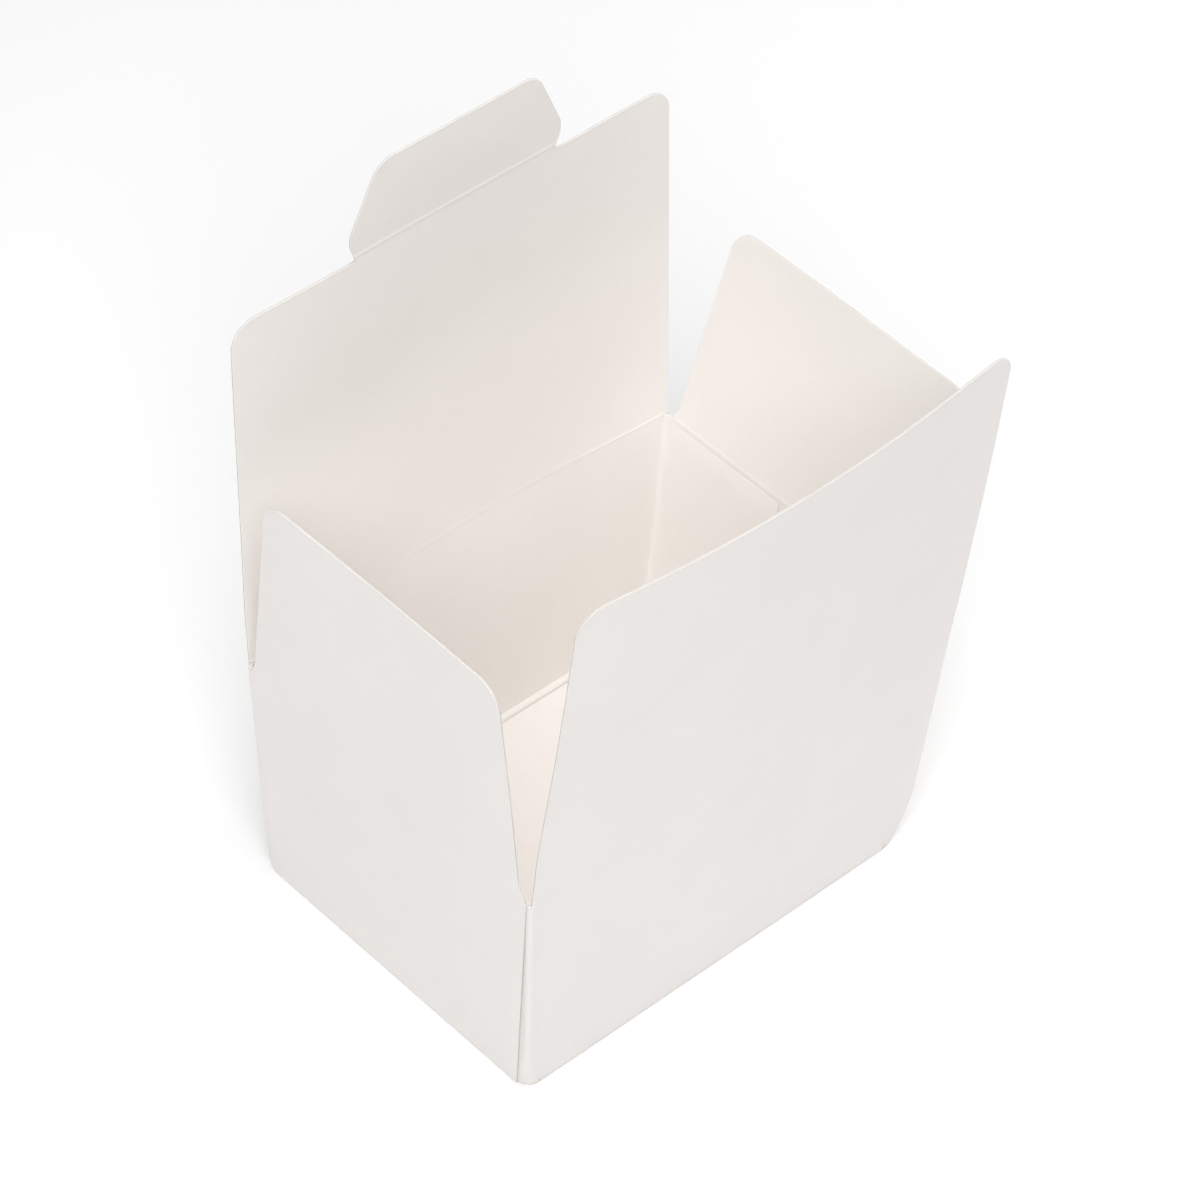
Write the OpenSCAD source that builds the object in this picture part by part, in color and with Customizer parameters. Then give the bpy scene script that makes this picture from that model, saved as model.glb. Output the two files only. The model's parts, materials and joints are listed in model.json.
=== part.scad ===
// Open candy box folded from one sheet of white card, with a lid that tucks in at the front.
// The base stands on z = 0, the front wall faces -Y and the long side runs along X.

/* [Box] */
// Length of the base, over the side walls
base_l = 100; // [80:1:140]
// Depth of the base, over the front and back walls
base_w = 75; // [60:1:110]
// Height of the side walls, up to the fold of the side flaps
wall_h = 56; // [40:1:80]
// Thickness of the card
board = 0.4; // [0.3:0.05:0.6]

/* [Walls] */
// Outward lean of the front wall, in degrees
front_lean = 2.4; // [1:0.1:5]
// Outward lean of the back wall, in degrees
back_lean = 1.6; // [1:0.1:5]
// Outward lean of the left wall, in degrees
left_lean = 3.6; // [1:0.1:6]
// Outward lean of the right wall, in degrees
right_lean = 4.3; // [1:0.1:6]
// Outer radius of the upright corner bends at the base
bend_base_r = 3.5; // [2:0.1:6]
// Outer radius of the upright corner bends at the mouth
bend_top_r = 1.6; // [1.4:0.1:3]
// Distance from the corner to the cut edge of a side wall at the base
seam_base = 2.7; // [1.5:0.1:4]
// Distance from the corner to the cut edge of a side wall at the mouth
seam_top = 0.9; // [0.6:0.1:2]
// Length of the glued flaps behind the side walls
glue_len = 32; // [15:1:36]
// Depth of the notch at each corner of the mouth
notch_h = 1.2; // [0.6:0.1:3]

/* [Flaps] */
// Length of the front flap, from its fold to its free edge
front_h = 77.8; // [60:0.1:100]
// Outward lean of the front flap, in degrees
front_flap_lean = 5.6; // [0:0.1:15]
// How much narrower the front flap is at its free edge, on each side
front_taper = 1; // [0:0.1:4]
// Corner radius of the front flap
front_r = 6; // [2:0.5:12]
// Length of the lid, from its fold to its front edge
lid_h = 79.8; // [60:0.1:110]
// Outward lean of the lid, in degrees
lid_lean = 3.2; // [0:0.1:15]
// How much narrower the lid is at its front edge, on each side
lid_taper = 0.5; // [0:0.1:4]
// Corner radius of the lid
lid_r = 5.5; // [2:0.5:12]
// Length of the side flaps
side_h = 50.3; // [25:0.1:52]
// Outward lean of the left flap, in degrees
left_flap_lean = 2.2; // [0:0.1:15]
// Outward lean of the right flap, in degrees
right_flap_lean = 8.6; // [0:0.1:15]
// Slant of the cut edges of the side flaps, in degrees
side_slant = 6.5; // [0:0.5:15]
// Distance from the corner of the mouth to the cut edge of a side flap
side_inset = 2.9; // [1.5:0.1:6]
// Corner radius of the side flaps
side_r = 6; // [2:0.5:12]

/* [Tuck tab] */
// Length of the tab's fold
tab_neck = 45.6; // [30:0.1:60]
// Width of the tab over its ears
tab_w = 50.8; // [36:0.1:70]
// Width that the tab's slanted sides would have at its free edge
tab_tip_w = 37.8; // [20:0.1:60]
// Length of the tab, from its fold to its free edge
tab_h = 19.2; // [12:0.1:26]
// Height of the ears above the fold
ear_h = 4.25; // [2:0.05:8]
// Corner radius of the tab
tab_r = 5; // [1:0.5:8]
// Distance from the lid's front edge to the tab's fold
tab_rise = 1.1; // [0.8:0.1:3]
// Inward lean of the tab from the lid's own plane, in degrees
tab_lean = 3.8; // [0:0.1:20]
// Length of the slit in the front fold that takes the tab
slit_l = 48; // [34:0.5:64]

/* [Folds] */
// How far the bead of a fold stands proud of the card
bead_rise = 0.06; // [0.02:0.01:0.1]
// Running gap under the bead of each fold
fold_gap = 0.06; // [0.04:0.01:0.12]
// Gap between the stacked flaps once they are closed
stack_gap = 0.12; // [0.1:0.01:0.4]
// Radius of the raised beads inside the folds of the base
base_bead_r = 0.5; // [0.3:0.05:0.8]

/* [Hidden] */
$fn = 32;
card_white = [0.93, 0.92, 0.91];
card_inside = [0.9, 0.87, 0.85];
arc_steps = 6;
edge_chamfer = 0.35;
edge_inset = 0.2;
glue_lift = 0.9;
glue_skin = 0.01;
notch_run = 0.8;
flare_h = 3;
flare_gap = 0.66;
hinge_cut = 1.2;
hinge_cut_h = 2.5;
neck_spread = 1.2;
ear_r = 1;
bead_r = board / 2 + bead_rise;
under_bead = bead_r + fold_gap;
front_z = wall_h + board + stack_gap;
back_z = front_z + board + stack_gap;
notch_z = wall_h - notch_h;

// Outer faces of the four walls at a height above the table
function left_x(z) = -base_l / 2 - z * tan(left_lean);
function right_x(z) = base_l / 2 + z * tan(right_lean);
function front_y(z) = -base_w / 2 - z * tan(front_lean);
function back_y(z) = base_w / 2 + z * tan(back_lean);
function wall_y(way, z) = way < 0 ? front_y(z) : back_y(z);
function bend_r(z) = bend_base_r + (bend_top_r - bend_base_r) * z / wall_h;
function seam(z) = seam_base + (seam_top - seam_base) * z / wall_h;

// Mouth of the box at the folds
mouth_l = right_x(wall_h) - left_x(wall_h);
mouth_w = back_y(wall_h) - front_y(wall_h);
mouth_x = (right_x(wall_h) + left_x(wall_h)) / 2;
mouth_y = (back_y(wall_h) + front_y(wall_h)) / 2;
cover_half = mouth_l / 2 - board - stack_gap;
side_half = mouth_w / 2 - side_inset;
flare_half = mouth_w / 2 - board - flare_gap;
front_axis = [mouth_x, front_y(front_z) + board / 2, front_z];
back_axis = [mouth_x, back_y(back_z) - board / 2, back_z];
left_axis = [left_x(wall_h) + board / 2, mouth_y, wall_h];
right_axis = [right_x(wall_h) - board / 2, mouth_y, wall_h];
tab_axis_h = lid_h + tab_rise;

// Outline with some corners rounded: each point is [x, y, radius]
function flat(p) = [p[0], p[1]];
function unit(v) = v / norm(v);
function turn(a) = a > 180 ? a - 360 : a < -180 ? a + 360 : a;
function corner(a, b, c, r) =
    let (
        u = unit(a - b),
        w = unit(c - b),
        half = acos(u * w) / 2,
        centre = b + unit(u + w) * r / sin(half),
        from = b + u * r / tan(half) - centre,
        to = b + w * r / tan(half) - centre,
        start = atan2(from[1], from[0]),
        sweep = turn(atan2(to[1], to[0]) - start)
    )
    [for (i = [0 : arc_steps]) centre + r * [cos(start + sweep * i / arc_steps), sin(start + sweep * i / arc_steps)]];
function rounded(p) =
    let (n = len(p))
    [for (i = [0 : n - 1])
        each p[i][2] == 0
            ? [flat(p[i])]
            : corner(flat(p[(i + n - 1) % n]), flat(p[i]), flat(p[(i + 1) % n]), p[i][2])];
function mirrored(half) =
    let (n = len(half))
    concat(half, [for (i = [n - 1 : -1 : 0]) [-half[i][0], half[i][1], half[i][2]]]);

// Solid skinned over a row of rings that have the same number of points
module skin(rings) {
    n = len(rings);
    m = len(rings[0]);
    sides = [for (i = [0 : n - 2], j = [0 : m - 1])
        let (k = (j + 1) % m)
        each [[i * m + j, i * m + k, (i + 1) * m + j], [i * m + k, (i + 1) * m + k, (i + 1) * m + j]]];
    start = [for (j = [1 : m - 2]) [0, j + 1, j]];
    end = [for (j = [1 : m - 2]) [(n - 1) * m, (n - 1) * m + j, (n - 1) * m + j + 1]];
    polyhedron(points = [for (ring = rings) each ring], faces = concat(sides, start, end));
}

// Point of the front or back board, which turns the corners and ends behind the side walls
function board_point(way, place, z, depth) =
    let (
        r = bend_r(z),
        hand = place[0],
        x = hand < 0 ? left_x(z) + board + glue_skin : right_x(z) - board - glue_skin,
        centre = [x - hand * r, wall_y(way, z) - way * r],
        reach = r - depth
    )
    place[1] == "glue" ? [x - hand * depth, wall_y(way, z) - way * glue_len, z]
    : place[1] == "bend" ? [centre[0] + hand * reach * cos(place[2]), centre[1] + way * reach * sin(place[2]), z]
    : [centre[0] - hand * notch_run, wall_y(way, z) - way * depth, z];
function board_ring(way, place, low, high) =
    let (
        edge = board_point(way, place, low, edge_inset),
        full = board_point(way, place, low + edge_chamfer, 0),
        rim = board_point(way, place, high, 0),
        rim_inside = board_point(way, place, high, board),
        foot_inside = board_point(way, place, low, board)
    )
    way < 0 ? [edge, full, rim, rim_inside, foot_inside] : [foot_inside, rim_inside, rim, full, edge];
function bends(hand, from, to) = [for (i = [0 : arc_steps]) [hand, "bend", from + (to - from) * i / arc_steps]];

module end_board(way, top) {
    places = concat([[-1, "glue"]], bends(-1, 0, 90), [[-1, "face"], [1, "face"]], bends(1, 90, 0), [[1, "glue"]]);
    skin([for (p = places)
        board_ring(way, p, p[1] == "glue" ? glue_lift : 0, p[1] == "face" ? top : notch_z)]);
}

// Side wall, whose cut edges stop just short of the corners
module side_board(hand) {
    top = wall_h - under_bead;
    rows = [[0, edge_inset], [edge_chamfer, 0], [top, 0], [top, board], [0, board]];
    ends = hand < 0 ? [1, -1] : [-1, 1];
    skin([for (way = ends)
        [for (row = rows)
            [
                (hand < 0 ? left_x(row[0]) : right_x(row[0])) - hand * row[1],
                wall_y(way, row[0]) - way * seam(row[0]),
                row[0]
            ]]]);
}

module base_plate() {
    span = [base_l - board, base_w - board] / 2 - [bend_base_r, bend_base_r];
    linear_extrude(board)
        hull()
            for (sx = [-1, 1], sy = [-1, 1])
                translate([sx * span[0], sy * span[1]]) circle(bend_base_r);
}

module base_beads() {
    run_x = base_l / 2 - bend_base_r;
    run_y = base_w / 2 - bend_base_r;
    for (way = [-1, 1])
        translate([0, wall_y(way, board) - way * board, board])
            rotate([0, 90, 0]) cylinder(r = base_bead_r, h = 2 * run_x, center = true);
    for (x = [left_x(board) + 2 * board, right_x(board) - 2 * board])
        translate([x, 0, board])
            rotate([90, 0, 0]) cylinder(r = base_bead_r, h = 2 * run_y, center = true);
}

module tray() {
    color(card_inside) {
        base_plate();
        base_beads();
        end_board(-1, front_z - under_bead);
        end_board(1, back_z - under_bead);
        side_board(-1);
        side_board(1);
    }
}

// Flaps are drawn flat, with the fold along local X and the free edge up local Y
module hinged(axis, heading, lean) {
    translate(axis) rotate([0, 0, heading]) rotate([90 + lean, 0, 0]) children();
}

module sheet(half) {
    translate([0, 0, -board / 2]) linear_extrude(board) polygon(rounded(mirrored(half)));
}

module bead(from, to) {
    translate([from, 0, 0]) rotate([0, 90, 0]) cylinder(r = bead_r, h = to - from);
}

module front_flap() {
    foot = cover_half - hinge_cut;
    half = [
        [slit_l / 2, bead_rise, 0],
        [slit_l / 2, 0, 0],
        [foot, 0, 0],
        [cover_half, hinge_cut_h, 0],
        [cover_half - front_taper, front_h, front_r]
    ];
    color(card_white)
        hinged(front_axis, 0, front_flap_lean) {
            sheet(half);
            bead(-foot, -slit_l / 2);
            bead(slit_l / 2, foot);
        }
}

module lid() {
    foot = cover_half - hinge_cut;
    neck = tab_neck / 2;
    half = [
        [foot, 0, 0],
        [cover_half, hinge_cut_h, 0],
        [cover_half - lid_taper, lid_h, lid_r],
        [neck + neck_spread, lid_h, 0],
        [neck, tab_axis_h - under_bead, 0]
    ];
    color(card_inside)
        hinged(back_axis, 180, lid_lean) {
            sheet(half);
            bead(-foot, foot);
        }
}

module tuck_tab() {
    neck = tab_neck / 2;
    half = [
        [neck, 0, 0],
        [tab_w / 2, ear_h, ear_r],
        [tab_tip_w / 2, tab_h, tab_r]
    ];
    color(card_inside)
        hinged(back_axis, 180, lid_lean)
            translate([0, tab_axis_h, 0]) rotate([-tab_lean, 0, 0]) {
                sheet(half);
                bead(-neck, neck);
            }
}

module side_flap(axis, heading, lean) {
    half = [
        [flare_half, 0, 0],
        [side_half, flare_h, 0],
        [side_half - (side_h - flare_h) * tan(side_slant), side_h, side_r]
    ];
    hinged(axis, heading, lean) {
        sheet(half);
        bead(-flare_half, flare_half);
    }
}

module left_flap() {
    color(card_white) side_flap(left_axis, -90, left_flap_lean);
}

module right_flap() {
    color(card_inside) side_flap(right_axis, 90, right_flap_lean);
}

tray();
front_flap();
lid();
tuck_tab();
left_flap();
right_flap();
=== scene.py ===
"""Looks of the open candy box: one sheet of white card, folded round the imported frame.

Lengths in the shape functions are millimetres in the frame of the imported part; they become metres
when a mesh is made.
"""

import json
import math

import bpy
from mathutils import Matrix, Vector


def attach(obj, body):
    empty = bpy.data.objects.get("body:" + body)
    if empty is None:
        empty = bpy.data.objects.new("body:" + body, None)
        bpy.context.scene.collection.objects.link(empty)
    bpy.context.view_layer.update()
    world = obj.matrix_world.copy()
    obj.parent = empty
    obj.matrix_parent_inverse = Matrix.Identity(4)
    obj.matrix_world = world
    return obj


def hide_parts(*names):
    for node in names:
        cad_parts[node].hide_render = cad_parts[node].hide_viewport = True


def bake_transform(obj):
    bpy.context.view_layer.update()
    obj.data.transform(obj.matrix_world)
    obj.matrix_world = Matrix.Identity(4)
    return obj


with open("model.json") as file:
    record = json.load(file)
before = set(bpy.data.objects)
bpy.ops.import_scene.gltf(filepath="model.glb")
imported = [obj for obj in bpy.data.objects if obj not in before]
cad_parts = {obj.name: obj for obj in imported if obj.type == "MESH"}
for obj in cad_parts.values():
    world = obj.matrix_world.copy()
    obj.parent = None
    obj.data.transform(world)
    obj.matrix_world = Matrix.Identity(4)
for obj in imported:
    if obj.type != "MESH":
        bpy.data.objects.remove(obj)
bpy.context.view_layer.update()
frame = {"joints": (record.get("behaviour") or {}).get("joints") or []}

MM = 0.001
JOINTS = {j["name"]: j for j in frame["joints"]}

# Box
BASE_L = 100.0
BASE_W = 75.0
WALL_H = 56.0
BOARD = 0.4
SKIN = 0.01
FRONT_LEAN = 2.4
BACK_LEAN = 1.6
LEFT_LEAN = 3.6
RIGHT_LEAN = 4.3
# Outer radii of the upright bends at the base, by way (front or back) and hand (left or right)
BEND_BASE_R = {(-1, -1): 3.2, (-1, 1): 6.2, (1, -1): 1.6, (1, 1): 2.4}
BEND_TOP_R = 1.25
BEND_BULGE = 0.26
BEND_BEAD = 0.17
BEND_FLARE = 14.0
SEAM_BASE = 2.7
SEAM_TOP = 0.9
GLUE_LEN = 32.0
GLUE_LIFT = 0.9
GLUE_LIFT_RUN = 14
NOTCH_Z = 54.8
# Top of the upright bends, at the front and at the back
BEND_TOP_Z = {-1: 55.5, 1: 56.6}
GLUE_TOP_FROM = 53.3
# The glued flaps are pressed thinner in their upper edge
GLUE_TAPER = 0.3
GLUE_TAPER_FROM = 52.0

# Flaps
FRONT_H = 77.8
FRONT_FLAP_LEAN = 5.6
LID_H = 79.8
LID_LEAN = 3.2
SIDE_H = 50.3
LEFT_FLAP_LEAN = 2.2
RIGHT_FLAP_LEAN = 8.6
SIDE_SLANT = 6.5
# Corner radii of the free edges
FRONT_CORNER = 6.0
LID_CORNER = 5.5
SIDE_CORNER = 6.0
TAB_CORNER = 5.0
# How much narrower the front flap and lid are at their fold, and over what height
FOOT_NARROWS = 0.3
FOOT_RUN = 12
TAB_LEAN = 3.8
TAB_H = 19.2
TAB_RISE = 1.1
TAB_TIP_HALF = 18.9
NECK_HALF = 24.4
NECK_FOOT = 24.0
SLIT_HALF = 24.0

# Bows of the card, outward at the middle of each part, and how they fade to the sides
FRONT_BOW = 3.0
FRONT_TOP_BOW = 3.2
BACK_BOW = 2.4
LID_TOP_BOW = 0.0
BOW_FADE = 1.3

# Folds
FOLD_REACH = 1.7
BEAD_H = 0.06
BEAD_W = 0.9
GROOVE = 0.015
TAB_BEAD_H = 0.09
TAB_BEAD_W = 0.6
BASE_FOLD = 1.9
BASE_FOLD_R = 0.8
BASE_BEAD_C = 0.85
BASE_BEAD_R = 0.78
CHAMFER = 0.07
HAIR = 0.03


def tan(degrees):
    return math.tan(math.radians(degrees))


def left_x(z):
    return -BASE_L / 2 - z * tan(LEFT_LEAN)


def right_x(z):
    return BASE_L / 2 + z * tan(RIGHT_LEAN)


def front_y(z):
    return -BASE_W / 2 - z * tan(FRONT_LEAN)


def back_y(z):
    return BASE_W / 2 + z * tan(BACK_LEAN)


def wall_x(hand, z):
    return left_x(z) if hand < 0 else right_x(z)


def wall_y(way, z):
    return front_y(z) if way < 0 else back_y(z)


def ramp(a, b, t):
    return a + (b - a) * t


def flare(z):
    """1 at the base and 0 above the height at which the upright bends turn tight."""
    return max(0.0, 1 - z / BEND_FLARE) ** 1.5


def bend_r(way, hand, z):
    return ramp(BEND_TOP_R, BEND_BASE_R[way, hand], flare(z))


def seam(z):
    return ramp(SEAM_BASE, SEAM_TOP, z / WALL_H)


def hump(v, width):
    """1 on the fold line, falling smoothly to 0 at width from it."""
    q = 1 - (v / width) ** 2
    return q * q if q > 0 else 0.0


def bow_shape(u):
    """Bow across a panel: 1 in its middle, 0 and level at its edges."""
    return max(0.0, 1 - u * u) ** BOW_FADE


MOUTH_L = right_x(WALL_H) - left_x(WALL_H)
MOUTH_W = back_y(WALL_H) - front_y(WALL_H)
MOUTH_X = (right_x(WALL_H) + left_x(WALL_H)) / 2
COVER_HALF = MOUTH_L / 2 - 0.52
SIDE_HALF = MOUTH_W / 2 - 2.9
FLARE_HALF = MOUTH_W / 2 - 1.3

# Flared foot of a side flap, as (half width, distance from the fold); less of it at the back
FLARE_TOP = 3.0
BACK_FLARE = 1.25
SIDE_FOOT = [
    (FLARE_HALF, 0.0),
    (FLARE_HALF - 0.1, 0.8),
    (FLARE_HALF - 0.75, 2.0),
    (SIDE_HALF, FLARE_TOP),
]


def axis_of(joint):
    return Vector(JOINTS[joint]["pos_m"]) / MM


FRONT_AXIS = axis_of("front_flap_fold")
BACK_AXIS = axis_of("lid_fold")
LEFT_AXIS = axis_of("left_flap_fold")
RIGHT_AXIS = axis_of("right_flap_fold")
TAB_AXIS = axis_of("tuck_tab_fold")
FRONT_Z = FRONT_AXIS.z
BACK_Z = BACK_AXIS.z


class Card:
    """A closed sheet of card: sites pair a point of its outer face with one of its inner face."""

    def __init__(self, name):
        self.name = name
        self.sites = []
        self.lookup = {}
        self.quads = []

    def site(self, outer, inner, crease=0.0, wear_and_highlight=0.0):
        key = tuple(round(c, 4) for c in (*outer, *inner))
        if key not in self.lookup:
            self.lookup[key] = len(self.sites)
            self.sites.append((Vector(outer), Vector(inner), crease, wear_and_highlight))
        return self.lookup[key]

    def block(self, grid, holes=()):
        """Grid of sites in rows; holes are the (row, column) cells that are left open."""
        for i in range(len(grid) - 1):
            for j in range(len(grid[i]) - 1):
                if (i, j) in holes:
                    continue
                loop = [grid[i][j], grid[i][j + 1], grid[i + 1][j + 1], grid[i + 1][j]]
                quad = [s for k, s in enumerate(loop) if s != loop[k - 1]]
                if len(quad) > 2:
                    self.quads.append(quad)

    def build(self, materials):
        """The mesh object: outer faces, inner faces, and a cut edge wherever the sheet ends."""
        n = len(self.sites)
        verts = [s[0] * MM for s in self.sites] + [s[1] * MM for s in self.sites]
        faces, kinds, edges = [], [], {}
        for quad in self.quads:
            faces.append(quad)
            kinds.append(0)
            faces.append([s + n for s in reversed(quad)])
            kinds.append(1)
            for k, s in enumerate(quad):
                edges[(quad[k - 1], s)] = True
        for a, b in edges:
            if (b, a) not in edges:
                faces.append([b, a, a + n, b + n])
                kinds.append(2)
        mesh = bpy.data.meshes.new(self.name)
        mesh.from_pydata(verts, [], faces)
        mesh.polygons.foreach_set("material_index", kinds)
        # Outer faces carry the lighter mark at the slit's lips, which is whitened card together
        # with a painted highlight; inner faces carry the folds
        mark = mesh.attributes.new("crease_and_highlight_mark", "FLOAT", "POINT")
        mark.data.foreach_set("value", [s[3] for s in self.sites] + [s[2] for s in self.sites])
        for material in materials:
            mesh.materials.append(material)
        mesh.shade_smooth()
        mesh.set_sharp_from_angle(angle=math.radians(38))
        mesh.validate()
        obj = bpy.data.objects.new(self.name, mesh)
        bpy.context.scene.collection.objects.link(obj)
        return obj


def spread(a, b, n):
    return [ramp(a, b, k / n) for k in range(n + 1)]


# Columns across the front and back boards, as shares of the flat part between its bends
ACROSS = spread(0.0, 1.0, 44)
BEND_STEPS = 10


def end_bow(way, z):
    """Bow of an end board, growing from the base to its fold."""
    top, full = (FRONT_Z, FRONT_BOW) if way < 0 else (BACK_Z, BACK_BOW)
    return full * max(0.0, z) / top


def face_end(way, hand, z):
    """Where the flat part of an end board stops and its upright bend starts."""
    return wall_x(hand, z) - hand * (BOARD + SKIN + bend_r(way, hand, z))


def face_point(way, t, z, depth):
    x = ramp(face_end(way, -1, z), face_end(way, 1, z), t)
    y = wall_y(way, z) + way * (end_bow(way, z) * bow_shape(2 * t - 1) - depth)
    return Vector((x, y, z))


def bend_point(way, hand, share, z, depth):
    """Point of an upright bend: share 0 at the flat part, 1 where the glued flap starts."""
    r = bend_r(way, hand, z)
    a = math.radians(90 * share)
    centre_x = face_end(way, hand, z)
    centre_y = wall_y(way, z) - way * r
    below = max(0.0, BASE_FOLD_R - z)
    curl = BASE_FOLD_R - math.sqrt(BASE_FOLD_R**2 - below**2)
    bulge = 0.0
    if depth < BOARD / 2:
        bulge = BEND_BULGE * math.sin(math.pi * share) * (1 - flare(z))
    reach = r - depth - curl + bulge
    return Vector((centre_x + hand * reach * math.sin(a), centre_y + way * reach * math.cos(a), z))


def glue_point(way, hand, run, z, depth):
    """Point of a glued flap, run away from its end board, behind the side wall."""
    top = BEND_TOP_Z[way]
    low = z - (top - NOTCH_Z) * max(0.0, z - GLUE_TOP_FROM) / (top - GLUE_TOP_FROM)
    pressed = 0.0
    if depth > BOARD / 2:
        pressed = GLUE_TAPER * min(1.0, max(0.0, (low - GLUE_TAPER_FROM) / 2.8))
    x = wall_x(hand, low) - hand * (BOARD + SKIN + depth - pressed)
    run = max(run, bend_r(way, hand, z) + 0.05 * run)
    return Vector((x, wall_y(way, low) - way * run, low))


def bend_bead(share):
    """Raised band that the crease leaves inside an upright bend."""
    q = 2 * share - 1
    return BEND_BEAD * (1 - q * q) ** 1.3


def base_fold(lean, step, steps):
    """Outer and inner point of the fold at the foot of a wall, as (distance in, height).

    Step 0 is on the wall, the last one on the base.
    """
    a = math.pi / 2 * step / steps
    out_z = BASE_FOLD_R * (1 - math.sin(a))
    out_d = BASE_FOLD_R * (1 - math.cos(a)) - out_z * tan(lean)
    ends = math.asin((BASE_BEAD_C - BOARD) / BASE_BEAD_R)
    b = ramp(math.pi / 2 + ends, -ends, step / steps)
    in_d = BASE_BEAD_C + BASE_BEAD_R * math.cos(b)
    in_z = BASE_BEAD_C + BASE_BEAD_R * math.sin(b)
    return (out_d, out_z), (in_d - in_z * tan(lean) * (1 - step / steps), in_z)


FOLD_STEPS = 10


def end_wall(card, way):
    """Front or back wall with its bends and glued flaps, down to the top of the base fold."""
    heights = [NOTCH_Z] + spread(NOTCH_Z - 1.5, 5.0, 30) + [3.5, 2.6, BASE_FOLD]
    order = -way

    def pair(point, z, *args, crease=0.0, bead=0.0, thin=0.0):
        return card.site(
            point(way, *args, z, thin), point(way, *args, z, BOARD + bead - thin), crease
        )

    face = [[pair(face_point, z, t) for t in ACROSS] for z in heights]
    flip = (lambda g: g) if order > 0 else (lambda g: [row[::-1] for row in g])
    card.block(flip(face))
    for hand in (-1, 1):
        low = [1.2, 0.8, 0.5, 0.28, 0.12, 0.05]
        rows = [BEND_TOP_Z[way], BEND_TOP_Z[way] - CHAMFER] + heights + low
        shares = spread(0.0, 1.0, BEND_STEPS)
        runs = [3.0, 8.0, 14.0, 20.0, 26.0, GLUE_LEN - 0.4, GLUE_LEN - CHAMFER, GLUE_LEN]
        grid = []
        for k, z in enumerate(rows):
            edge = CHAMFER if k == 0 else 0.0
            row = []
            for share in shares:
                crease = math.sin(math.pi * share)
                thin = edge
                row.append(
                    pair(
                        bend_point, z, hand, share, crease=crease, bead=bend_bead(share), thin=thin
                    )
                )
            for n, run in enumerate(runs):
                lift = GLUE_LIFT * min(1.0, run / GLUE_LIFT_RUN)
                lifted = max(z, lift + (z - 0.03) * 0.5) if z < 2.6 else z
                last = CHAMFER if n == len(runs) - 1 else edge
                row.append(pair(glue_point, lifted, hand, run, thin=last))
            grid.append(row)
        outward = order * hand > 0
        card.block(grid if outward else [row[::-1] for row in grid])


def base_sheet(card):
    """Base with its four folds; its side lips reach under the upright bends."""
    flat = BASE_W / 2 - BASE_FOLD

    def column_x(way, t):
        return ramp(face_end(way, -1, 0.0), face_end(way, 1, 0.0), t)

    def plate_x(t, y):
        return ramp(column_x(-1, t), column_x(1, t), (y + flat) / (2 * flat))

    rows = []
    for way in (-1, 1):
        lean = FRONT_LEAN if way < 0 else BACK_LEAN
        fold = []
        wall = [
            card.site(
                face_point(way, t, BASE_FOLD, 0.0), face_point(way, t, BASE_FOLD, BOARD), 0.0
            )
            for t in ACROSS
        ]
        fold.append(wall)
        for step in range(FOLD_STEPS + 1):
            (od, oz), (nd, nz) = base_fold(lean, step, FOLD_STEPS)
            crease = math.sin(math.pi * step / FOLD_STEPS)
            row = []
            for t in ACROSS:
                bulge = end_bow(way, oz) * bow_shape(2 * t - 1)
                outer = (column_x(way, t), way * (BASE_W / 2 - od + bulge), oz)
                inner = (column_x(way, t), way * (BASE_W / 2 - nd + bulge), nz)
                row.append(card.site(outer, inner, crease))
            fold.append(row)
        rows.append(fold)
    ys = spread(-flat, flat, 26)
    plate = [
        [card.site((plate_x(t, y), y, 0.0), (plate_x(t, y), y, BOARD)) for t in ACROSS] for y in ys
    ]
    card.block(rows[0] + plate + rows[1][::-1])
    for hand in (-1, 1):
        lean = LEFT_LEAN if hand < 0 else RIGHT_LEAN
        stop = hand * (BASE_L / 2 - BASE_FOLD)
        cols = []
        for q in spread(0.0, 1.0, 6):
            reach = ramp(flat, BASE_W / 2 - SEAM_BASE, q) + 0.9 * math.sin(math.pi * q)
            line = []
            for y in ys:
                x = ramp(plate_x((1 + hand) / 2, y), stop, q)
                line.append(card.site((x, y * reach / flat, 0.0), (x, y * reach / flat, BOARD)))
            cols.append(line)
        foot = BASE_W / 2 - SEAM_BASE
        for step in range(FOLD_STEPS, -1, -1):
            (od, oz), (nd, nz) = base_fold(lean, step, FOLD_STEPS)
            crease = math.sin(math.pi * step / FOLD_STEPS)
            cols.append(
                [
                    card.site(
                        (hand * (BASE_L / 2 - od), y * foot / flat, oz),
                        (hand * (BASE_L / 2 - nd), y * foot / flat, nz),
                        crease,
                    )
                    for y in ys
                ]
            )
        cols.append(side_row(card, hand, BASE_FOLD, ys, flat))
        card.block(cols if hand < 0 else cols[::-1])


def side_row(card, hand, z, ys, flat, edge=True):
    """Row of sites across a side wall at one height. Its cut edges stop short of the corners."""
    low = front_y(z) + seam(z)
    high = back_y(z) - seam(z)
    row = []
    for k, y in enumerate(ys):
        yy = ramp(low, high, (y + flat) / (2 * flat))
        end = k in (0, len(ys) - 1)
        thin = CHAMFER if end and edge else 0.0
        row.append(
            card.site(
                (wall_x(hand, z) - hand * thin, yy, z),
                (wall_x(hand, z) - hand * (BOARD - thin), yy, z),
            )
        )
    return row


SIDE_YS = spread(-(BASE_W / 2 - BASE_FOLD), BASE_W / 2 - BASE_FOLD, 26)
SIDE_TOP = WALL_H - FOLD_REACH


def side_wall(card, hand):
    flat = BASE_W / 2 - BASE_FOLD
    heights = [BASE_FOLD] + spread(4.0, SIDE_TOP, 26)
    grid = [side_row(card, hand, z, SIDE_YS, flat) for z in heights]
    card.block(grid if hand > 0 else [row[::-1] for row in grid])


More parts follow.
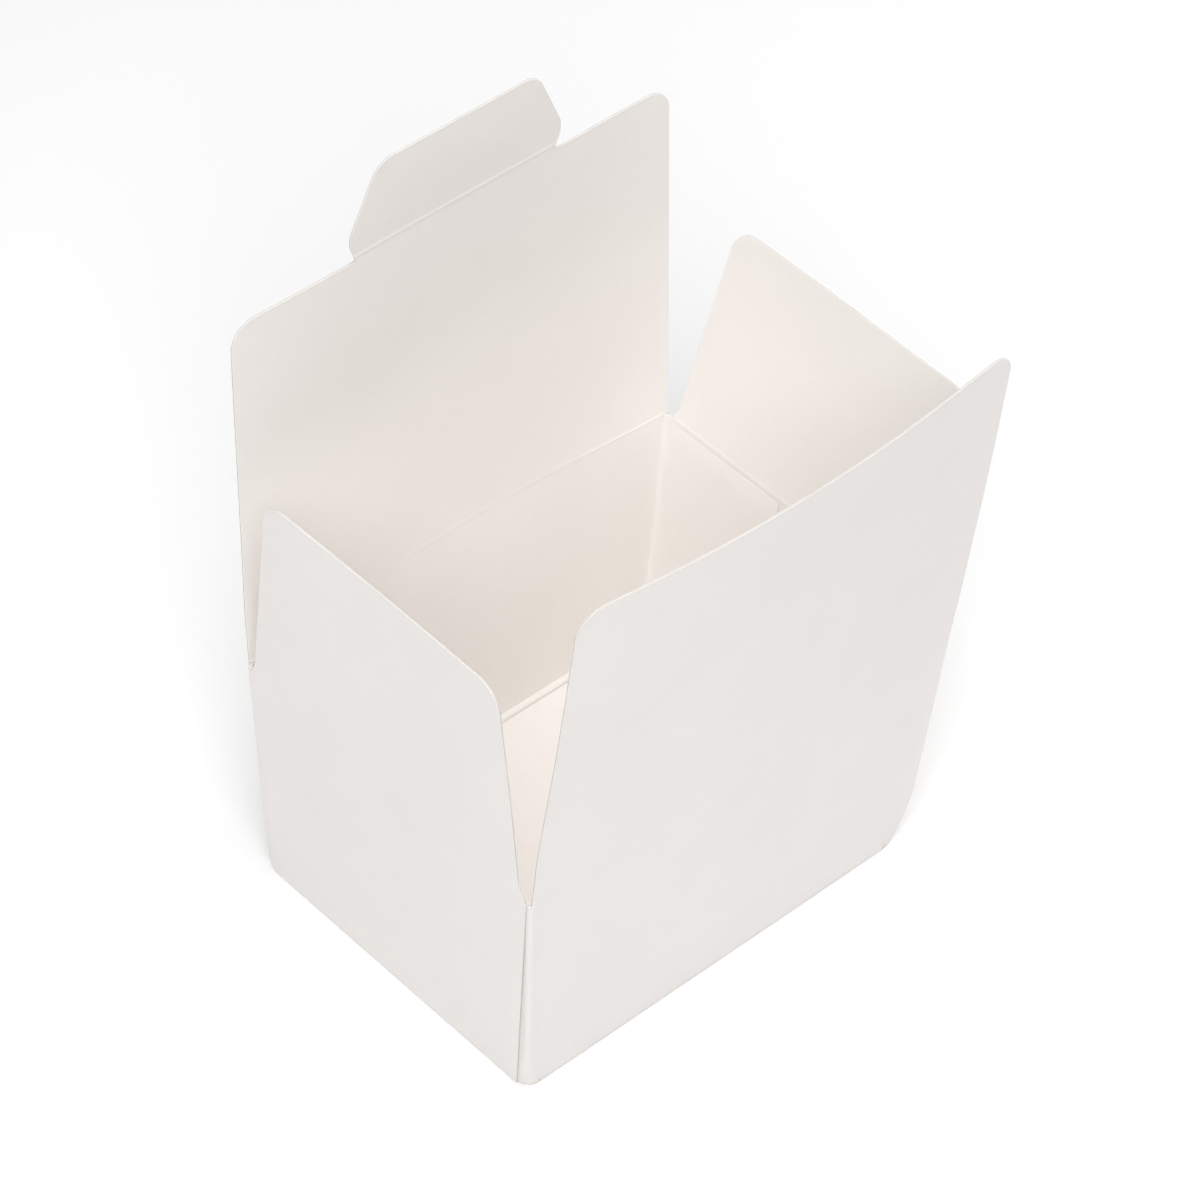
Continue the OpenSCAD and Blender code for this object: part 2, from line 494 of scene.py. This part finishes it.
def hinged(axis, heading, lean):
    """Frame of a flap: local x along the fold, y to the free edge, z outward."""
    return (
        Matrix.Translation(axis)
        @ Matrix.Rotation(math.radians(heading), 4, "Z")
        @ Matrix.Rotation(math.radians(90 + lean), 4, "X")
    )


def rounded_side(half, foot_v, slant, height, radius, steps=10):
    """Right-hand outline of a flap from foot_v up: a slanted cut edge and a rounded corner."""
    s = math.radians(slant)
    reach = half * math.cos(s) + foot_v * math.sin(s)
    centre_v = height - radius
    centre_x = (reach - radius - centre_v * math.sin(s)) / math.cos(s)
    out = []
    for k in range(steps + 1):
        a = ramp(s, math.pi / 2, k / steps)
        out.append((centre_x + radius * math.cos(a), centre_v + radius * math.sin(a)))
    return out


def inset(outline, by):
    """The outline moved inward: foot points move sideways, the last one also down."""
    out = []
    for k, (x, v) in enumerate(outline):
        x0, v0 = outline[max(0, k - 1)]
        x1, v1 = outline[min(len(outline) - 1, k + 1)]
        length = math.hypot(x1 - x0, v1 - v0)
        out.append((x - by * (v1 - v0) / length, v + by * (x1 - x0) / length))
    x, v = outline[-1]
    out[-1] = (x, v - by)
    out[0] = (outline[0][0] - by, outline[0][1])
    return out


def dense(outline, step):
    """The outline with its long stretches divided."""
    out = [outline[0]]
    for a, b in zip(outline, outline[1:]):
        n = max(1, round(math.hypot(b[0] - a[0], b[1] - a[1]) / step))
        out += [(ramp(a[0], b[0], k / n), ramp(a[1], b[1], k / n)) for k in range(1, n + 1)]
    return out


def flap_grid(card, outline, place, columns, neck=0.0):
    """Rows of sites over a flap. A thin outer ring gives its cut edge a small chamfer, apart from
    the stretch of its top edge that a neck of that half width carries on."""
    grid = []
    for (ex, ev), (ix, iv) in zip(outline, inset(outline, CHAMFER)):
        row = [place(card, -ex, ev, CHAMFER)]
        row += [place(card, ix * c, iv, 0.0) for c in columns]
        row.append(place(card, ex, ev, CHAMFER))
        grid.append(row)
    ex, ev = outline[-1]
    top = [place(card, ex * c, ev, 0.0 if abs(ex * c) < neck + 0.01 else CHAMFER) for c in columns]
    grid.append([top[0], *top, top[-1]])
    return grid


COLUMNS = [2 * t - 1 for t in ACROSS]


def warp(x, v, seed):
    """Slight unevenness of the card, in millimetres."""
    a = math.sin(0.061 * x + 1.7 * seed) * math.sin(0.083 * v + 0.9 * seed)
    b = math.sin(0.113 * x - 0.047 * v + 2.3 * seed)
    fade = min(1.0, max(0.0, v / 25))
    return (0.16 * a + 0.07 * b) * fade


FOLD_ROWS = [0.15, 0.3, 0.45, 0.6, 0.75, 0.95, 1.2, 1.45, FOLD_REACH]


def fold_depths(v):
    """Depth of the outer face's groove and of the inner face's bead, at v from a fold."""
    return GROOVE * hump(v, BEAD_W * 0.6), BOARD + BEAD_H * hump(v, BEAD_W)


def flap_place(matrix, bow, seed, back=0):
    """Maker of sites on a flap above its fold. Side back of a side flap has little flare."""

    def place(card, x, v, thin):
        if x * back > 0 and v < FLARE_TOP:
            x = x * (SIDE_HALF + BACK_FLARE * (1 - v / FLARE_TOP)) / outline_x(SIDE_FOOT, v)
        z = bow(x, v) + warp(x, v, seed)
        e = 0.5
        dx = (bow(x + e, v) - bow(x - e, v)) / (2 * e)
        dv = (bow(x, v + e) - bow(x, v - e)) / (2 * e)
        n = Vector((-dx, -dv, 1)).normalized()
        groove, depth = fold_depths(v)
        mid = Vector((x, v, z))
        outer = mid + n * (BOARD / 2 - groove - thin)
        inner = mid - n * (depth - BOARD / 2 - thin)
        return card.site(matrix @ outer, matrix @ inner, hump(v, BEAD_W))

    return place


# Places along the slit where its lower lip stands off, and by how much it does; there its outer
# face is painted lighter, which is whitened card together with a painted highlight of the lip
SLIT_GAPES = [
    (-21.4, 0.24),
    (-16.5, 0.24),
    (-14.3, 0.26),
    (-13.2, 0.34),
    (-12.1, 0.26),
    (-8.8, 0.34),
    (-5.6, 0.18),
]
GAPE_RUN = 0.75
LIP_REACH = 1.2
WEAR_AND_HIGHLIGHT_REACH = 0.4
WEAR_AND_HIGHLIGHT_GAP = 0.16
# Columns of the front flap that are set close together, where the lips stand off
LIP_COLUMNS = [k * 0.55 - 22.5 - MOUTH_X for k in range(37)]


def slit_gap(x):
    """How far the slit's lower lip stands off its upper one."""
    return sum(w * max(0.0, 1 - abs(x - at) / GAPE_RUN) for at, w in SLIT_GAPES)


def end_flap(name, way, outline, columns, place, slit=False, neck=0.0):
    """Flap of the front or back board, with its fold and a little of the wall below it."""
    card = Card(name)
    fold_z = FRONT_Z if way < 0 else BACK_Z

    def wall_place(c, v, thin):
        z = fold_z + v
        lo, hi = face_end(way, -1, z), face_end(way, 1, z)
        over = z > BEND_TOP_Z[way]
        foot = (outline[0][0] if over else (hi - lo) / 2) - CHAMFER * (thin == 0)
        x = (MOUTH_X if over else (lo + hi) / 2) - way * foot * c
        wear_and_highlight = 0.0
        # At the slit the lower lip is pulled down, and near the gap its outer face gets the lighter
        # mark: whitened card together with a painted highlight
        if slit:
            wear_and_highlight = 2.0 * min(1.0, slit_gap(x) / WEAR_AND_HIGHLIGHT_GAP) * (v > -WEAR_AND_HIGHLIGHT_REACH)
            z -= slit_gap(x) * max(0.0, 1 + (v + HAIR) / LIP_REACH)
        t = min(1.0, max(0.0, (x - lo) / (hi - lo)))
        groove, depth = fold_depths(v)
        outer = face_point(way, t, z, groove + thin)
        inner = face_point(way, t, z, depth - thin)
        outer.x = inner.x = x
        return card.site(outer, inner, hump(v, BEAD_W), wear_and_highlight)

    step = fold_z - BEND_TOP_Z[way]
    depths = [v for v in [*FOLD_ROWS, step - HAIR, step + HAIR] if v < fold_z - NOTCH_Z]
    rows = [NOTCH_Z - fold_z] + [-v for v in sorted(depths, reverse=True)] + [-HAIR]
    below = [
        [wall_place(-1.0, v, CHAMFER)]
        + [wall_place(c, v, 0.0) for c in columns]
        + [wall_place(1.0, v, CHAMFER)]
        for v in rows
    ]
    whole = below + flap_grid(card, outline, place, columns, neck)
    foot = outline[0][0]
    holes = set()
    if slit:
        inside = [abs(c) * foot <= SLIT_HALF + 0.1 for c in columns]
        holes = {
            (len(whole) - 1 - len(below), k + 1)
            for k in range(len(columns) - 1)
            if inside[k] and inside[k + 1]
        }
    card.block(whole[::-1], holes)
    return card


def side_flap(name, hand, place):
    """Side flap with its fold and a little of the side wall below it."""
    card = Card(name)
    low = [(outline_x(SIDE_FOOT, v), v) for v in [0.0, *FOLD_ROWS, 2.3]]
    high = [SIDE_FOOT[-1]] + rounded_side(SIDE_HALF, FLARE_TOP, SIDE_SLANT, SIDE_H, SIDE_CORNER)
    columns = spread(-1.0, 1.0, len(SIDE_YS) - 1)
    below = []
    for v in [-q for q in FOLD_ROWS[::-1]]:
        z = WALL_H + v
        y_low, y_high = front_y(z) + seam(z), back_y(z) - seam(z)
        groove, depth = fold_depths(v)
        row = []
        for k, c in enumerate([-1.0, *columns, 1.0]):
            end = k in (0, len(columns) + 1)
            thin = CHAMFER if end else 0.0
            y = ramp(y_low, y_high, (1 + hand * c * (1.0 if end else 0.998)) / 2)
            outer = (wall_x(hand, z) - hand * (groove + thin), y, z)
            inner = (wall_x(hand, z) - hand * (depth - thin), y, z)
            row.append(card.site(outer, inner, hump(v, BEAD_W)))
        below.append(row)
    whole = below + flap_grid(card, low + dense(high, 3.0), place, columns)
    card.block(whole[::-1])
    return card


def outline_x(outline, v):
    """Half width of an outline at the distance v from its fold."""
    for a, b in zip(outline, outline[1:]):
        if a[1] <= v <= b[1]:
            return ramp(a[0], b[0], (v - a[1]) / (b[1] - a[1]))
    return outline[-1][0]


def fillet(a, b, c, radius, steps):
    """Points of an arc that rounds the corner b between a and c."""
    a, b, c = Vector(a), Vector(b), Vector(c)
    u, w = (a - b).normalized(), (c - b).normalized()
    half = u.angle(w) / 2
    centre = b + (u + w).normalized() * radius / math.sin(half)
    first = b + u * radius / math.tan(half) - centre
    last = b + w * radius / math.tan(half) - centre
    start = math.atan2(first.y, first.x)
    sweep = (math.atan2(last.y, last.x) - start + math.pi) % (2 * math.pi) - math.pi
    return [
        (
            centre.x + radius * math.cos(start + sweep * k / steps),
            centre.y + radius * math.sin(start + sweep * k / steps),
        )
        for k in range(steps + 1)
    ]


# Right half of the tab's outline up to its ear, as (half width, distance from the fold)
EAR = [(25.05, 1.6), (25.3, 2.5), (25.4, 3.4), (25.36, 4.3), (25.2, 5.2), (24.9, 6.0)]


def tab_card(name, columns):
    """Tuck tab with its neck, from the lid's front edge over the fold to its own free edge."""
    card = Card(name)

    def place(card, x, v, thin):
        matrix = TAB_FRAME if v >= 0 else NECK_FRAME
        groove, depth = GROOVE * hump(v, 0.4), BOARD + TAB_BEAD_H * hump(v, TAB_BEAD_W)
        z = warp(x, LID_H + TAB_RISE + min(v, 0.0), 2) + warp(x, v, 5)
        outer = matrix @ Vector((x, v, z + BOARD / 2 - groove - thin))
        inner = matrix @ Vector((x, v, z + BOARD / 2 - depth + thin))
        return card.site(outer, inner, hump(v, TAB_BEAD_W))

    tip = (TAB_TIP_HALF, TAB_H)
    below = (-TAB_RISE, -0.8, -0.5, -0.3, -0.15)
    above = (0.0, 0.15, 0.3, 0.5, 0.8, 1.2)
    low = [(ramp(NECK_HALF, NECK_FOOT, -v / TAB_RISE), v) for v in below]
    fold = [(ramp(NECK_HALF, EAR[0][0], v / EAR[0][1]), v) for v in above]
    round_tip = fillet(EAR[-1], tip, (0.0, TAB_H), TAB_CORNER, 9)
    outline = low + dense([*fold, *EAR, *round_tip], 2.0)
    card.block(flap_grid(card, outline, place, columns)[::-1])
    return card


# Materials

FLECK = (0.984, 0.981, 0.976)
RELIEF = 0.00004

def node(tree, kind, **values):
    n = tree.nodes.new(kind)
    for key, value in values.items():
        if key in n.inputs:
            n.inputs[key].default_value = value
        else:
            setattr(n, key, value)
    return n


def card_material(name, base, tint, roughness, specular, grain, bump, mark):
    """Card: base colour with a faint cloudiness and grain, marked along its folds; on the outer
    face the mark is a lighter colour at the slit's lips, which is whitened card together with a
    painted highlight.
    """
    material = bpy.data.materials.new(name)
    material.use_nodes = True
    tree = material.node_tree
    tree.nodes.clear()
    link = tree.links.new
    out = node(tree, "ShaderNodeOutputMaterial")
    shader = node(tree, "ShaderNodeBsdfPrincipled")
    shader.inputs["Specular IOR Level"].default_value = specular
    link(shader.outputs["BSDF"], out.inputs["Surface"])
    where = node(tree, "ShaderNodeTexCoord")
    cloud = node(tree, "ShaderNodeTexNoise", Scale=38.0, Detail=3.0, Roughness=0.5)
    fine = node(tree, "ShaderNodeTexNoise", Scale=grain, Detail=4.0, Roughness=0.65)
    stretch = node(tree, "ShaderNodeMapping")
    stretch.inputs["Scale"].default_value = (0.35, 0.35, 1.0)
    fibre = node(tree, "ShaderNodeTexNoise", Scale=grain * 0.6, Detail=5.0, Roughness=0.7)
    link(where.outputs["Object"], cloud.inputs["Vector"])
    link(where.outputs["Object"], fine.inputs["Vector"])
    link(where.outputs["Object"], stretch.inputs["Vector"])
    link(stretch.outputs["Vector"], fibre.inputs["Vector"])
    cloudy = node(tree, "ShaderNodeMix", data_type="RGBA")
    cloudy.inputs["A"].default_value = (*base, 1)
    cloudy.inputs["B"].default_value = (*tint, 1)
    even = node(tree, "ShaderNodeMapRange")
    even.inputs["From Min"].default_value = 0.3
    even.inputs["From Max"].default_value = 0.7
    link(cloud.outputs["Fac"], even.inputs["Value"])
    link(even.outputs["Result"], cloudy.inputs["Factor"])
    speck = node(tree, "ShaderNodeMix", data_type="RGBA", blend_type="MULTIPLY")
    speck.inputs["B"].default_value = (*FLECK, 1)
    fleck = node(tree, "ShaderNodeMapRange")
    fleck.inputs["From Min"].default_value = 0.52
    fleck.inputs["From Max"].default_value = 0.78
    link(fibre.outputs["Fac"], fleck.inputs["Value"])
    link(fleck.outputs["Result"], speck.inputs["Factor"])
    link(cloudy.outputs["Result"], speck.inputs["A"])
    creased = node(tree, "ShaderNodeAttribute", attribute_name="crease_and_highlight_mark")
    wear_and_highlight_mix = node(tree, "ShaderNodeMix", data_type="RGBA")
    wear_and_highlight_mix.inputs["B"].default_value = (*mark, 1)
    patchy = node(tree, "ShaderNodeMath", operation="MULTIPLY")
    link(creased.outputs["Fac"], patchy.inputs[0])
    link(fine.outputs["Fac"], patchy.inputs[1])
    link(patchy.outputs["Value"], wear_and_highlight_mix.inputs["Factor"])
    link(speck.outputs["Result"], wear_and_highlight_mix.inputs["A"])
    link(wear_and_highlight_mix.outputs["Result"], shader.inputs["Base Color"])
    rough = node(tree, "ShaderNodeMapRange")
    rough.inputs["To Min"].default_value = roughness - 0.05
    rough.inputs["To Max"].default_value = roughness + 0.07
    link(fine.outputs["Fac"], rough.inputs["Value"])
    link(rough.outputs["Result"], shader.inputs["Roughness"])
    relief = node(tree, "ShaderNodeBump", Strength=bump, Distance=RELIEF)
    link(fibre.outputs["Fac"], relief.inputs["Height"])
    link(relief.outputs["Normal"], shader.inputs["Normal"])
    return material


COATED = card_material(
    "card_coated",
    base=(0.92, 0.888, 0.866),
    tint=(0.903, 0.869, 0.845),
    roughness=0.5,
    specular=0.35,
    grain=2600.0,
    bump=0.15,
    # Lighter colour at the slit's gaping lips: whitened card together with a painted highlight of
    # the lips catching light
    mark=(0.99, 0.98, 0.97),
)
UNCOATED = card_material(
    "card_uncoated",
    base=(0.946, 0.914, 0.886),
    tint=(0.931, 0.897, 0.867),
    roughness=0.85,
    specular=0.2,
    grain=1500.0,
    bump=0.35,
    mark=(0.945, 0.915, 0.885),
)
# Cut edges: their colour is darkened well below the card's own, which is painted shade of the thin
# edges; the fibrous grain is the card's
CUT = card_material(
    "card_cut_edge_painted_shade",
    base=(0.7, 0.675, 0.64),
    tint=(0.66, 0.635, 0.6),
    roughness=0.9,
    specular=0.15,
    grain=4200.0,
    bump=0.5,
    mark=(0.7, 0.675, 0.64),
)
MATERIALS = [COATED, UNCOATED, CUT]

# Pieces

tray = Card("box_body")
for way in (-1, 1):
    end_wall(tray, way)
base_sheet(tray)
for hand in (-1, 1):
    side_wall(tray, hand)
body = tray.build(MATERIALS)

FRONT_FRAME = hinged(FRONT_AXIS, 0, FRONT_FLAP_LEAN)
LID_FRAME = hinged(BACK_AXIS, 180, LID_LEAN)
NECK_FRAME = hinged(TAB_AXIS, 180, LID_LEAN)
TAB_FRAME = hinged(TAB_AXIS, 180, LID_LEAN - TAB_LEAN)
LEFT_FRAME = hinged(LEFT_AXIS, -90, LEFT_FLAP_LEAN)
RIGHT_FRAME = hinged(RIGHT_AXIS, 90, RIGHT_FLAP_LEAN)


def front_bow(x, v):
    return ramp(FRONT_BOW, FRONT_TOP_BOW, v / FRONT_H) * bow_shape(x / (COVER_HALF + 0.4))


def lid_bow(x, v):
    return ramp(BACK_BOW, LID_TOP_BOW, v / LID_H) * bow_shape(x / (COVER_HALF + 0.4))


def level(x, v):
    return 0.0


def cover_outline(height, taper, radius):
    """Right half of the front flap's or the lid's outline, taper narrower at the free edge."""
    slant = math.degrees(math.atan(taper / height))
    rows = [0.0, *FOLD_ROWS, 2.6, 5.0, 8.0, 12.0]
    low = [(COVER_HALF - FOOT_NARROWS * max(0.0, 1 - v / FOOT_RUN), v) for v in rows]
    high = rounded_side(COVER_HALF, 2.0, slant, height, radius)
    return low + dense([low[-1]] + high, 3.0)[1:]


def with_columns(half, at, more=()):
    """The usual columns, one at each side at a distance from the middle, and some more."""
    return sorted({*COLUMNS, at / half, -at / half, *(x / half for x in more)})


FRONT_OUTLINE = cover_outline(FRONT_H, 1.0, FRONT_CORNER)
LID_OUTLINE = cover_outline(LID_H, 0.5, LID_CORNER)
front = end_flap(
    "front_flap_card",
    -1,
    FRONT_OUTLINE,
    with_columns(FRONT_OUTLINE[0][0], SLIT_HALF, LIP_COLUMNS),
    flap_place(FRONT_FRAME, front_bow, 1),
    slit=True,
).build(MATERIALS)
lid = end_flap(
    "lid_card",
    1,
    LID_OUTLINE,
    with_columns(LID_OUTLINE[-1][0], NECK_FOOT),
    flap_place(LID_FRAME, lid_bow, 2),
    neck=NECK_FOOT,
).build(MATERIALS)
tab = tab_card("tuck_tab_card", spread(-1.0, 1.0, 24)).build(MATERIALS)
left = side_flap("left_flap_card", -1, flap_place(LEFT_FRAME, level, 3, -1)).build(MATERIALS)
right = side_flap("right_flap_card", 1, flap_place(RIGHT_FRAME, level, 4, 1)).build(MATERIALS)

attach(body, "tray")
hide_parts("tray")
for piece, child, axis, below, above in (
    (front, "front_flap", FRONT_AXIS, Vector((0, 0, -FOLD_REACH)), FRONT_FRAME.col[1].xyz),
    (lid, "lid", BACK_AXIS, Vector((0, 0, -FOLD_REACH)), LID_FRAME.col[1].xyz),
    (left, "left_flap", LEFT_AXIS, Vector((0, 0, -FOLD_REACH)), LEFT_FRAME.col[1].xyz),
    (right, "right_flap", RIGHT_AXIS, Vector((0, 0, -FOLD_REACH)), RIGHT_FRAME.col[1].xyz),
):
    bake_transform(piece)
    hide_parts(child)
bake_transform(tab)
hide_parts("tuck_tab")

# Floor, backdrop, lamps and camera

WORLD_LIGHT = 0.04
FLOOR_GLOW = 0.09
FLOOR_SHADE = 0.9
FLOOR_HALF = 3.0
LAMP_AIM = (0, 0, 0.06)
# Name, place, diameter and power of each round lamp
LAMPS = [
    ("lamp_top", (0.0, 0.0, 1.3), 0.9, 6.4),
    ("lamp_high_left", (-0.6, -0.6, 1.1), 0.9, 12.3),
    ("lamp_left", (-1.2, 0.0, 0.6), 0.9, 0.9),
    ("lamp_right", (1.2, 0.0, 0.6), 0.9, 6.6),
    ("lamp_front", (0.85, -0.85, 0.6), 0.9, 1.7),
    ("lamp_back", (-0.85, 0.85, 0.6), 0.9, 1.9),
]
FOCAL = 5296.458
FRAME_PIXELS = 1200
SENSOR = 36.0
CAMERA_AZIMUTH = -44.771
CAMERA_ELEVATION = 44.867
CAMERA_ROLL = 3.173
CAMERA_DISTANCE = 995.864
CAMERA_AIM = (0.0, 0.0, 50.0)
CAMERA_SIDE = 0.408
CAMERA_RISE = 13.306


def seen_directly(tree):
    """Socket that is 1 for the rays of the camera, of mirrors and of clear things."""
    path = node(tree, "ShaderNodeLightPath")
    first = node(tree, "ShaderNodeMath", operation="MAXIMUM")
    second = node(tree, "ShaderNodeMath", operation="MAXIMUM")
    tree.links.new(path.outputs["Is Camera Ray"], first.inputs[0])
    tree.links.new(path.outputs["Is Glossy Ray"], first.inputs[1])
    tree.links.new(first.outputs["Value"], second.inputs[0])
    tree.links.new(path.outputs["Is Transmission Ray"], second.inputs[1])
    return second.outputs["Value"]


def backdrop():
    world = bpy.data.worlds.new("studio")
    bpy.context.scene.world = world
    world.use_nodes = True
    tree = world.node_tree
    tree.nodes.clear()
    light = node(tree, "ShaderNodeBackground", Color=(1, 1, 1, 1), Strength=WORLD_LIGHT)
    white = node(tree, "ShaderNodeBackground", Color=(1, 1, 1, 1), Strength=1.0)
    mix = node(tree, "ShaderNodeMixShader")
    out = node(tree, "ShaderNodeOutputWorld")
    tree.links.new(seen_directly(tree), mix.inputs["Fac"])
    tree.links.new(light.outputs["Background"], mix.inputs[1])
    tree.links.new(white.outputs["Background"], mix.inputs[2])
    tree.links.new(mix.outputs["Shader"], out.inputs["Surface"])


def floor():
    """Pale table: seen directly it is white, but it keeps the box's shadow."""
    h = FLOOR_HALF
    mesh = bpy.data.meshes.new("table")
    mesh.from_pydata([(-h, -h, 0), (h, -h, 0), (h, h, 0), (-h, h, 0)], [], [(0, 1, 2, 3)])
    obj = bpy.data.objects.new("table", mesh)
    bpy.context.scene.collection.objects.link(obj)
    material = bpy.data.materials.new("table_white")
    material.use_nodes = True
    tree = material.node_tree
    tree.nodes.clear()
    matt = node(tree, "ShaderNodeBsdfDiffuse", Color=(*[FLOOR_SHADE] * 3, 1))
    glow = node(tree, "ShaderNodeEmission", Color=(1, 1, 1, 1))
    share = node(tree, "ShaderNodeMath", operation="MULTIPLY")
    share.inputs[1].default_value = FLOOR_GLOW
    tree.links.new(seen_directly(tree), share.inputs[0])
    tree.links.new(share.outputs["Value"], glow.inputs["Strength"])
    both = node(tree, "ShaderNodeAddShader")
    out = node(tree, "ShaderNodeOutputMaterial")
    tree.links.new(matt.outputs["BSDF"], both.inputs[0])
    tree.links.new(glow.outputs["Emission"], both.inputs[1])
    tree.links.new(both.outputs["Shader"], out.inputs["Surface"])
    mesh.materials.append(material)


def lamps():
    for name, place, size, power in LAMPS:
        data = bpy.data.lights.new(name, "AREA")
        data.shape = "DISK"
        data.size = size
        data.energy = power
        obj = bpy.data.objects.new(name, data)
        bpy.context.scene.collection.objects.link(obj)
        obj.location = place
        obj.rotation_euler = (Vector(LAMP_AIM) - obj.location).to_track_quat("-Z", "Y").to_euler()


def camera():
    a, e, roll = (math.radians(v) for v in (CAMERA_AZIMUTH, CAMERA_ELEVATION, CAMERA_ROLL))
    back = Vector((math.sin(a) * math.cos(e), -math.cos(a) * math.cos(e), math.sin(e)))
    side = Vector((math.cos(a), math.sin(a), 0.0))
    up = back.cross(side)
    turned_side = side * math.cos(roll) + up * math.sin(roll)
    turned_up = up * math.cos(roll) - side * math.sin(roll)
    place = Vector(CAMERA_AIM) + back * CAMERA_DISTANCE
    place = place + turned_side * CAMERA_SIDE + turned_up * CAMERA_RISE
    data = bpy.data.cameras.new("camera")
    data.sensor_width = SENSOR
    data.lens = FOCAL / FRAME_PIXELS * SENSOR
    data.clip_start, data.clip_end = 0.05, 20.0
    obj = bpy.data.objects.new("camera", data)
    bpy.context.scene.collection.objects.link(obj)
    turn = Matrix((turned_side, turned_up, back)).transposed().to_4x4()
    obj.matrix_world = Matrix.Translation(place * MM) @ turn
    bpy.context.scene.camera = obj


backdrop()
floor()
lamps()
camera()
bpy.context.scene.view_settings.view_transform = "Standard"
